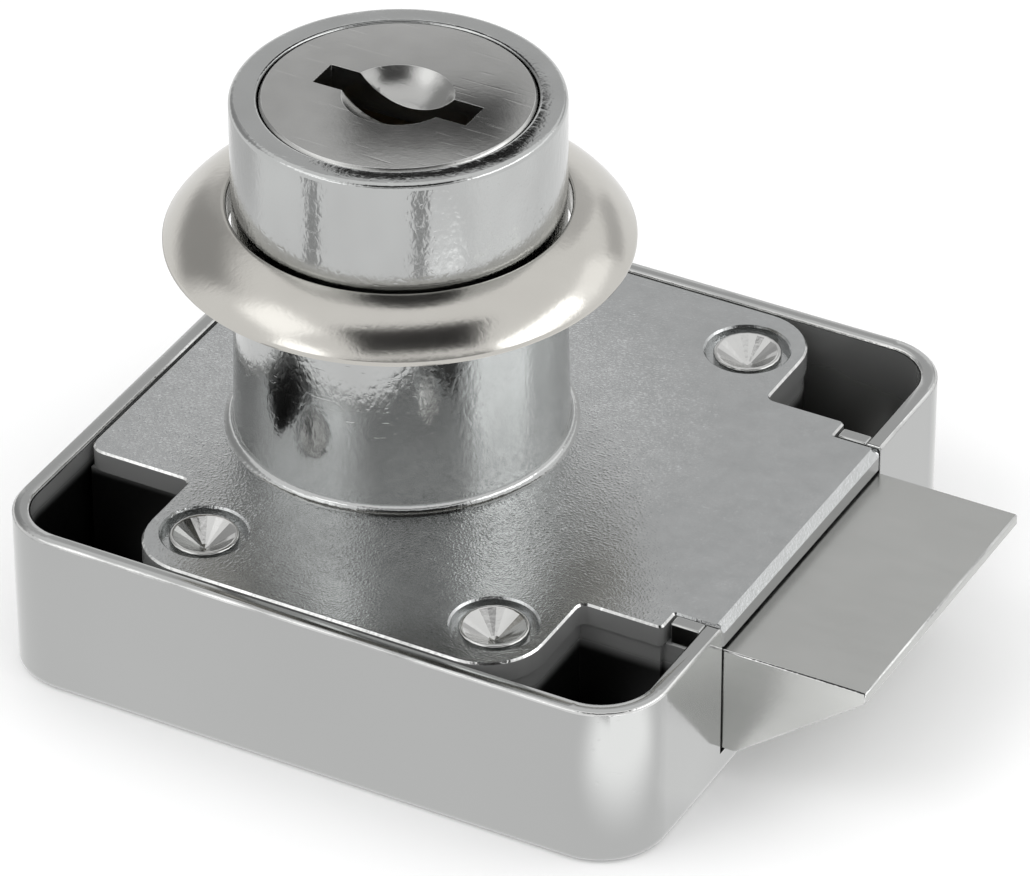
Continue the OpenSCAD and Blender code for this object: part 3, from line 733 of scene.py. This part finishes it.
# %% [markdown]
# ## Trim ring
# The ring is pressed from sheet: a shallow cone, bowed a little outwards, that falls from a small
# rolled lip beside the barrel to a thin outer edge. The bowed flank and the lip are arcs, and each
# is drawn by spinning one vertex.

# %% Arcs


def arc(bm, start, centre, turn_degrees, steps):
    """Spins a vertex about a centre in the XZ plane and returns the arc's last vertex."""
    made = bmesh.ops.spin(bm, geom=[start], cent=(centre[0], 0, centre[1]), axis=(0, -1, 0),
                          angle=radians(turn_degrees), steps=steps)
    return next(g for g in made["geom_last"] if isinstance(g, bmesh.types.BMVert))


def bowed(bm, start, end, rise, steps):
    """Draws a shallow arc from a vertex to a point, bowed to its right, and returns its last vertex."""
    here = Vector((start.co.x, start.co.z))
    span = Vector(end) - here
    radius = (span.length ** 2 / 4 + rise ** 2) / (2 * abs(rise))
    side = Vector((span.y, -span.x)).normalized() * (1 if rise > 0 else -1)
    centre = here + span / 2 - side * (radius - abs(rise))
    turn = 2 * asin(span.length / 2 / radius) * (1 if rise > 0 else -1)
    return arc(bm, start, centre, degrees(turn), steps)


# %% The trim ring
RING_R = ring_high.x
RING_BORE = BARREL_R + 0.25 * MM
RING_SHEET = 0.7 * MM
RING_BOW = 0.4 * MM
LIP_R = 0.2 * MM
EDGE_H = 0.15 * MM
COLLAR_UP = 0.3 * MM
ring_base = ring_low.z
crown_x = RING_BORE + LIP_R
inner_x = RING_BORE + RING_SHEET
roof_z = ring_high.z - 1.4 * RING_SHEET
ring_mesh = bmesh.new()
edge_top = ring_mesh.verts.new((RING_R, 0, ring_base + EDGE_H))
crown_end = bowed(ring_mesh, edge_top, (crown_x, ring_high.z), RING_BOW, 30)
lip_end = arc(ring_mesh, crown_end, (crown_x, ring_high.z - LIP_R), 90, 8)
collar_low = ring_mesh.verts.new((RING_BORE, 0, ring_base + COLLAR_UP))
collar_in = ring_mesh.verts.new((inner_x, 0, ring_base + COLLAR_UP))
outer_low = ring_mesh.verts.new((RING_R, 0, ring_base))
under = ring_mesh.verts.new((RING_R - RING_SHEET, 0, ring_base))
under_end = bowed(ring_mesh, under, (inner_x, roof_z), RING_BOW, 14)
for a, b in ((lip_end, collar_low), (collar_low, collar_in), (collar_in, under_end), (under, outer_low),
             (outer_low, edge_top)):
    ring_mesh.edges.new((a, b))
turned(ring_mesh)
piece("trim_rosette", ring_mesh, [pearl_nickel], "trim", "pearl_nickel", "trim_ring")

# %% [markdown]
# ## Plug and bolt
# Both keep the form of their CAD solids, with their edges softened: the plug's keyway and key guide
# have crisp, thin bright edges, and the bolt's are ground a little rounder. The plug's face is
# turned with a very slight crown, which shows only in what it mirrors, so a bump that falls off
# from the axis makes it.

# %% A crowned face for the plug


def plug_crown(finish, radius, rise):
    """Bends a face's normals as if it rose to the plug's axis, falling with the distance squared."""
    tree = finish.node_tree
    last_bump = tree.nodes["Principled BSDF"].inputs["Normal"].links[0].from_socket
    place = add_node(tree, "ShaderNodeTexCoord")
    flat = add_node(tree, "ShaderNodeVectorMath", {
        0: place.outputs["Object"], 1: (1 / radius, 1 / radius, 0),
    }, operation="MULTIPLY")
    away = add_node(tree, "ShaderNodeVectorMath", {0: flat.outputs[0]}, operation="LENGTH")
    fall = add_node(tree, "ShaderNodeMath", {0: away.outputs["Value"], 1: 2.0}, operation="POWER")
    crown = add_node(tree, "ShaderNodeBump", {
        "Height": fall.outputs[0], "Distance": rise, "Strength": 1.0, "Normal": last_bump,
    }, invert=True)
    tree.links.new(crown.outputs["Normal"], tree.nodes["Principled BSDF"].inputs["Normal"])


# %% The plug
PLUG_CROWN = 0.26 * MM
PLUG_EDGE = 0.07 * MM
plug_crown(satin_plug, plug_high.x, PLUG_CROWN)
# Its bevels take the painted highlight finish.
plug_mesh = softened("plug", PLUG_EDGE, radians(28), segments=2, edge_finish=1)
piece("lock_plug", plug_mesh, [satin_plug, painted_highlight_edge], "core", "satin_steel", "plug")

# %% The bolt
BOLT_EDGE = 0.12 * MM
# Its bevels take the painted highlight finish.
bolt_mesh = softened("bolt", BOLT_EDGE, radians(25), segments=1, edge_finish=1)
piece("spring_bolt", bolt_mesh, [satin_bolt, painted_highlight_edge], "latch", "satin_steel", "bolt")

# %% [markdown]
# ## Hidden pieces
# The wafers, springs, clip and pusher are inside the lock. Their CAD solids are already right, so
# each only gets the finish of its own metal.

# %% The finishes of the hidden pieces
hidden_finish = {"pusher": cast_zinc, "tail_clip": spring_wire}
for name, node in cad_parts.items():
    if name.startswith(("wafer_spring", "push_spring", "bolt_spring")):
        hidden_finish[name] = spring_wire
    elif name.startswith("wafer"):
        hidden_finish[name] = brass
for name, finish in hidden_finish.items():
    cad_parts[name].data.materials.clear()
    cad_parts[name].data.materials.append(finish)
print("hidden pieces", len(hidden_finish))

# %% [markdown]
# ## Floor and world
# The lock stands on a white floor in front of white. Metal needs that white too, so the floor and
# the world are plain white to reflections, and the world is to the camera as well. The rest of the
# light stays at a plain level, and the floor that the camera sees keeps the lock's soft shadow.

# %% White for reflections


def white_to_view(tree, shader_out, target):
    """Mixes a shader with plain white for glossy rays, and in the world for the camera too."""
    in_world = target.node.type == "OUTPUT_WORLD"
    rays = add_node(tree, "ShaderNodeLightPath")
    white = add_node(tree, "ShaderNodeBackground" if in_world else "ShaderNodeEmission", {
        "Color": (1, 1, 1, 1), "Strength": 1.0,
    })
    seen = add_node(tree, "ShaderNodeMath", {
        0: rays.outputs["Is Glossy Ray"], 1: rays.outputs["Is Transmission Ray"],
    }, operation="MAXIMUM")
    if in_world:
        seen = add_node(tree, "ShaderNodeMath", {0: seen.outputs[0], 1: rays.outputs["Is Camera Ray"]},
                        operation="MAXIMUM")
    mixed = add_node(tree, "ShaderNodeMixShader", {
        0: seen.outputs[0], 1: shader_out, 2: white.outputs[0],
    })
    tree.links.new(mixed.outputs[0], target)


# %% The floor
FLOOR_SIZE = 1.2
floor_mesh = bmesh.new()
bmesh.ops.create_grid(floor_mesh, x_segments=1, y_segments=1, size=FLOOR_SIZE)
floor_data = bpy.data.meshes.new("floor")
floor_mesh.to_mesh(floor_data)
floor_mesh.free()
floor = bpy.data.objects.new("floor", floor_data)
bpy.context.collection.objects.link(floor)
floor_finish = bpy.data.materials.new("white floor")
floor_finish.use_nodes = True
floor_tree = floor_finish.node_tree
floor_shader = floor_tree.nodes["Principled BSDF"]
floor_shader.inputs["Base Color"].default_value = (0.95, 0.95, 0.95, 1)
floor_shader.inputs["Roughness"].default_value = 0.9
floor_shader.inputs["Specular IOR Level"].default_value = 0.0
floor_surface = floor_tree.nodes["Material Output"].inputs["Surface"]
white_to_view(floor_tree, floor_shader.outputs[0], floor_surface)
floor_data.materials.append(floor_finish)
print("floor", 2 * FLOOR_SIZE, "m wide")

# %% The world
world = bpy.data.worlds.new("studio")
world.use_nodes = True
bpy.context.scene.world = world
world_light = world.node_tree.nodes["Background"]
world_light.inputs["Color"].default_value = (1, 1, 1, 1)
world_light.inputs["Strength"].default_value = 1.0
world_surface = world.node_tree.nodes["World Output"].inputs["Surface"]
white_to_view(world.node_tree, world_light.outputs[0], world_surface)
print("world", world.name)

# %% [markdown]
# ## Lamps and cards
# A photographer shapes bright metal with cards, not with lamps alone: each card is a stripe on the
# barrel and a patch on the ring, and a grey one above and behind calms the flat faces. Soft edges
# keep the patches soft. The cards are hidden from the camera, cast no light or shadow, and show
# only in reflections.

# %% Facing the lock
TARGET = Vector((4 * MM, 0, 14 * MM))
FLOOR_GAP = 0.2 * MM


def aimed(made, azimuth, elevation, distance):
    """Puts an object at a distance from the lock, facing it."""
    away = direction(radians(azimuth), radians(elevation))
    made.location = TARGET + away * distance
    made.rotation_euler = away.to_track_quat("Z", "Y").to_euler()
    bpy.context.collection.objects.link(made)
    return made


# %% A card


def card_finish(name, width, height, level, soft):
    """A plain grey light that fades to nothing near the card's edges."""
    finish = bpy.data.materials.new(name)
    finish.use_nodes = True
    tree = finish.node_tree
    place = add_node(tree, "ShaderNodeTexCoord")
    parts = add_node(tree, "ShaderNodeSeparateXYZ", {"Vector": place.outputs["Object"]})
    shares = []
    for axis, size in (("X", width), ("Y", height)):
        off = add_node(tree, "ShaderNodeMath", {0: parts.outputs[axis]}, operation="ABSOLUTE")
        share = add_node(tree, "ShaderNodeMapRange", {
            "Value": off.outputs[0], "From Min": size / 2 - soft, "From Max": size / 2,
            "To Min": 1.0, "To Max": 0.0,
        }, interpolation_type="SMOOTHSTEP")
        shares.append(share.outputs["Result"])
    solid = add_node(tree, "ShaderNodeMath", {0: shares[0], 1: shares[1]}, operation="MULTIPLY")
    clear = add_node(tree, "ShaderNodeBsdfTransparent")
    glow = add_node(tree, "ShaderNodeEmission", {"Color": (1, 1, 1, 1), "Strength": level})
    mixed = add_node(tree, "ShaderNodeMixShader", {
        0: solid.outputs[0], 1: clear.outputs[0], 2: glow.outputs[0],
    })
    tree.links.new(mixed.outputs[0], tree.nodes["Material Output"].inputs["Surface"])
    return finish


def card(name, width, height, level, soft):
    """A card that only reflections see."""
    bm = bmesh.new()
    bmesh.ops.create_grid(bm, x_segments=1, y_segments=1, size=0.5)
    bmesh.ops.scale(bm, verts=bm.verts, vec=(width, height, 1))
    data = bpy.data.meshes.new(name)
    bm.to_mesh(data)
    bm.free()
    data.materials.append(card_finish(name, width, height, level, soft))
    made = bpy.data.objects.new(name, data)
    made.visible_camera = made.visible_diffuse = made.visible_shadow = False
    return made


# %% [markdown]
# Most cards stand round the lock and face it. Their places are given as angles, azimuth and
# elevation, and a distance in metres, and their levels as parts of plain white. The others lie just
# above the floor, where the case's sides and the bolt's slant mirror them.

# %% Standing and lying cards


def standing_card(name, azimuth, elevation, distance, half_width, half_height, level, soft=0.02):
    """A card that faces the lock, with its size given as the half angles that it covers."""
    width, height = (2 * distance * tan(radians(half)) for half in (half_width, half_height))
    return aimed(card(name, width, height, level, soft), azimuth, elevation, distance)


def floor_card(name, azimuth, reach, width, length, level, soft):
    """A card that lies on the floor and points away from the barrel, its middle at a given reach."""
    made = card(name, width, length, level, soft)
    made.location = direction(radians(azimuth), 0) * reach + Vector((0, 0, FLOOR_GAP))
    made.rotation_euler = (0, 0, radians(azimuth))
    bpy.context.collection.objects.link(made)
    return made


# %% The cards
standing_card("grey card behind", 206, 34, 0.32, 24, 13, 0.65)
standing_card("grey card left", 254, 27, 0.30, 28, 24, 0.4, 0.08)
standing_card("dark card above the camera", 39, 62, 0.50, 27, 20, 0.03, 0.09)
standing_card("grey card round the camera", 37, 33, 0.62, 32, 8, 0.26, 0.05)
standing_card("bright card near the camera", 340, 33, 0.60, 13, 8, 2.3, 0.06)
standing_card("grey card back right", 168, 16, 0.30, 16, 10, 0.62, 0.03)
standing_card("bright card front left", 313, 48, 0.45, 17, 15, 1.7, 0.07)
standing_card("bright card back right", 142, 28, 0.29, 14, 12, 1.4, 0.03)
standing_card("bright card right", 103, 33, 0.28, 23, 10, 2.8, 0.025)
floor_card("glow beside the corner", 54, 41.5 * MM, 30 * MM, 20 * MM, 1.7, 8 * MM)
floor_card("glow by the right wall", 71, 31 * MM, 11 * MM, 11 * MM, 1.1, 3 * MM)
floor_card("glow beyond the bolt", 100, 60 * MM, 60 * MM, 44 * MM, 1.1, 14 * MM)
floor_card("grey floor on the left", 262, 62 * MM, 56 * MM, 56 * MM, 0.72, 16 * MM)
floor_card("dark strip front left", 333, 57 * MM, 9 * MM, 30 * MM, 0.4, 1.5 * MM)
floor_card("dark strip front right", 42, 58 * MM, 9 * MM, 30 * MM, 0.4, 1.5 * MM)

# %% [markdown]
# The plug's face mirrors what is high up behind the lock. A small dark card, close above it and in
# the way of that reflection, leaves a soft dark patch on the front of the face.

# %% A small dark card close to the plug
FLAG_WIDTH = 12.5 * MM
FLAG_HEIGHT = 7 * MM
FLAG_AWAY = 16 * MM
FLAG_SOFT = 1.7 * MM
PATCH_RIGHT = 1.9 * MM
PATCH_FRONT = 3.2 * MM
FLAG_LEVEL = 0.02
flag_target = level_right * PATCH_RIGHT + Vector((back.x, back.y, 0)).normalized() * PATCH_FRONT
flag_target.z = barrel_top
mirrored = Vector((-back.x, -back.y, back.z))
flag = card("dark card close to the plug", FLAG_WIDTH, FLAG_HEIGHT, FLAG_LEVEL, FLAG_SOFT)
flag.location = flag_target + mirrored * FLAG_AWAY
flag.rotation_euler = mirrored.to_track_quat("Z", "Y").to_euler()
bpy.context.collection.objects.link(flag)
print("card over the plug at", flag.location)

# %% [markdown]
# Two soft lamps give the floor its faint shadow. They are hidden from glossy rays, because the
# metal would show them as hard white squares.

# %% Two lamps for the shadow


def lamp(name, azimuth, elevation, distance, width, height, power):
    """A soft rectangular lamp."""
    data = bpy.data.lights.new(name, "AREA")
    data.shape = "RECTANGLE"
    data.size, data.size_y = width, height
    data.energy = power
    return aimed(bpy.data.objects.new(name, data), azimuth, elevation, distance)


left_lamp = lamp("left lamp", 320, 50, 0.5, 0.3, 0.3, 0.5)
right_lamp = lamp("right lamp", 100, 50, 0.5, 0.3, 0.3, 0.3)
for made in (left_lamp, right_lamp):
    made.visible_glossy = False
print("lamps", len(bpy.data.lights))
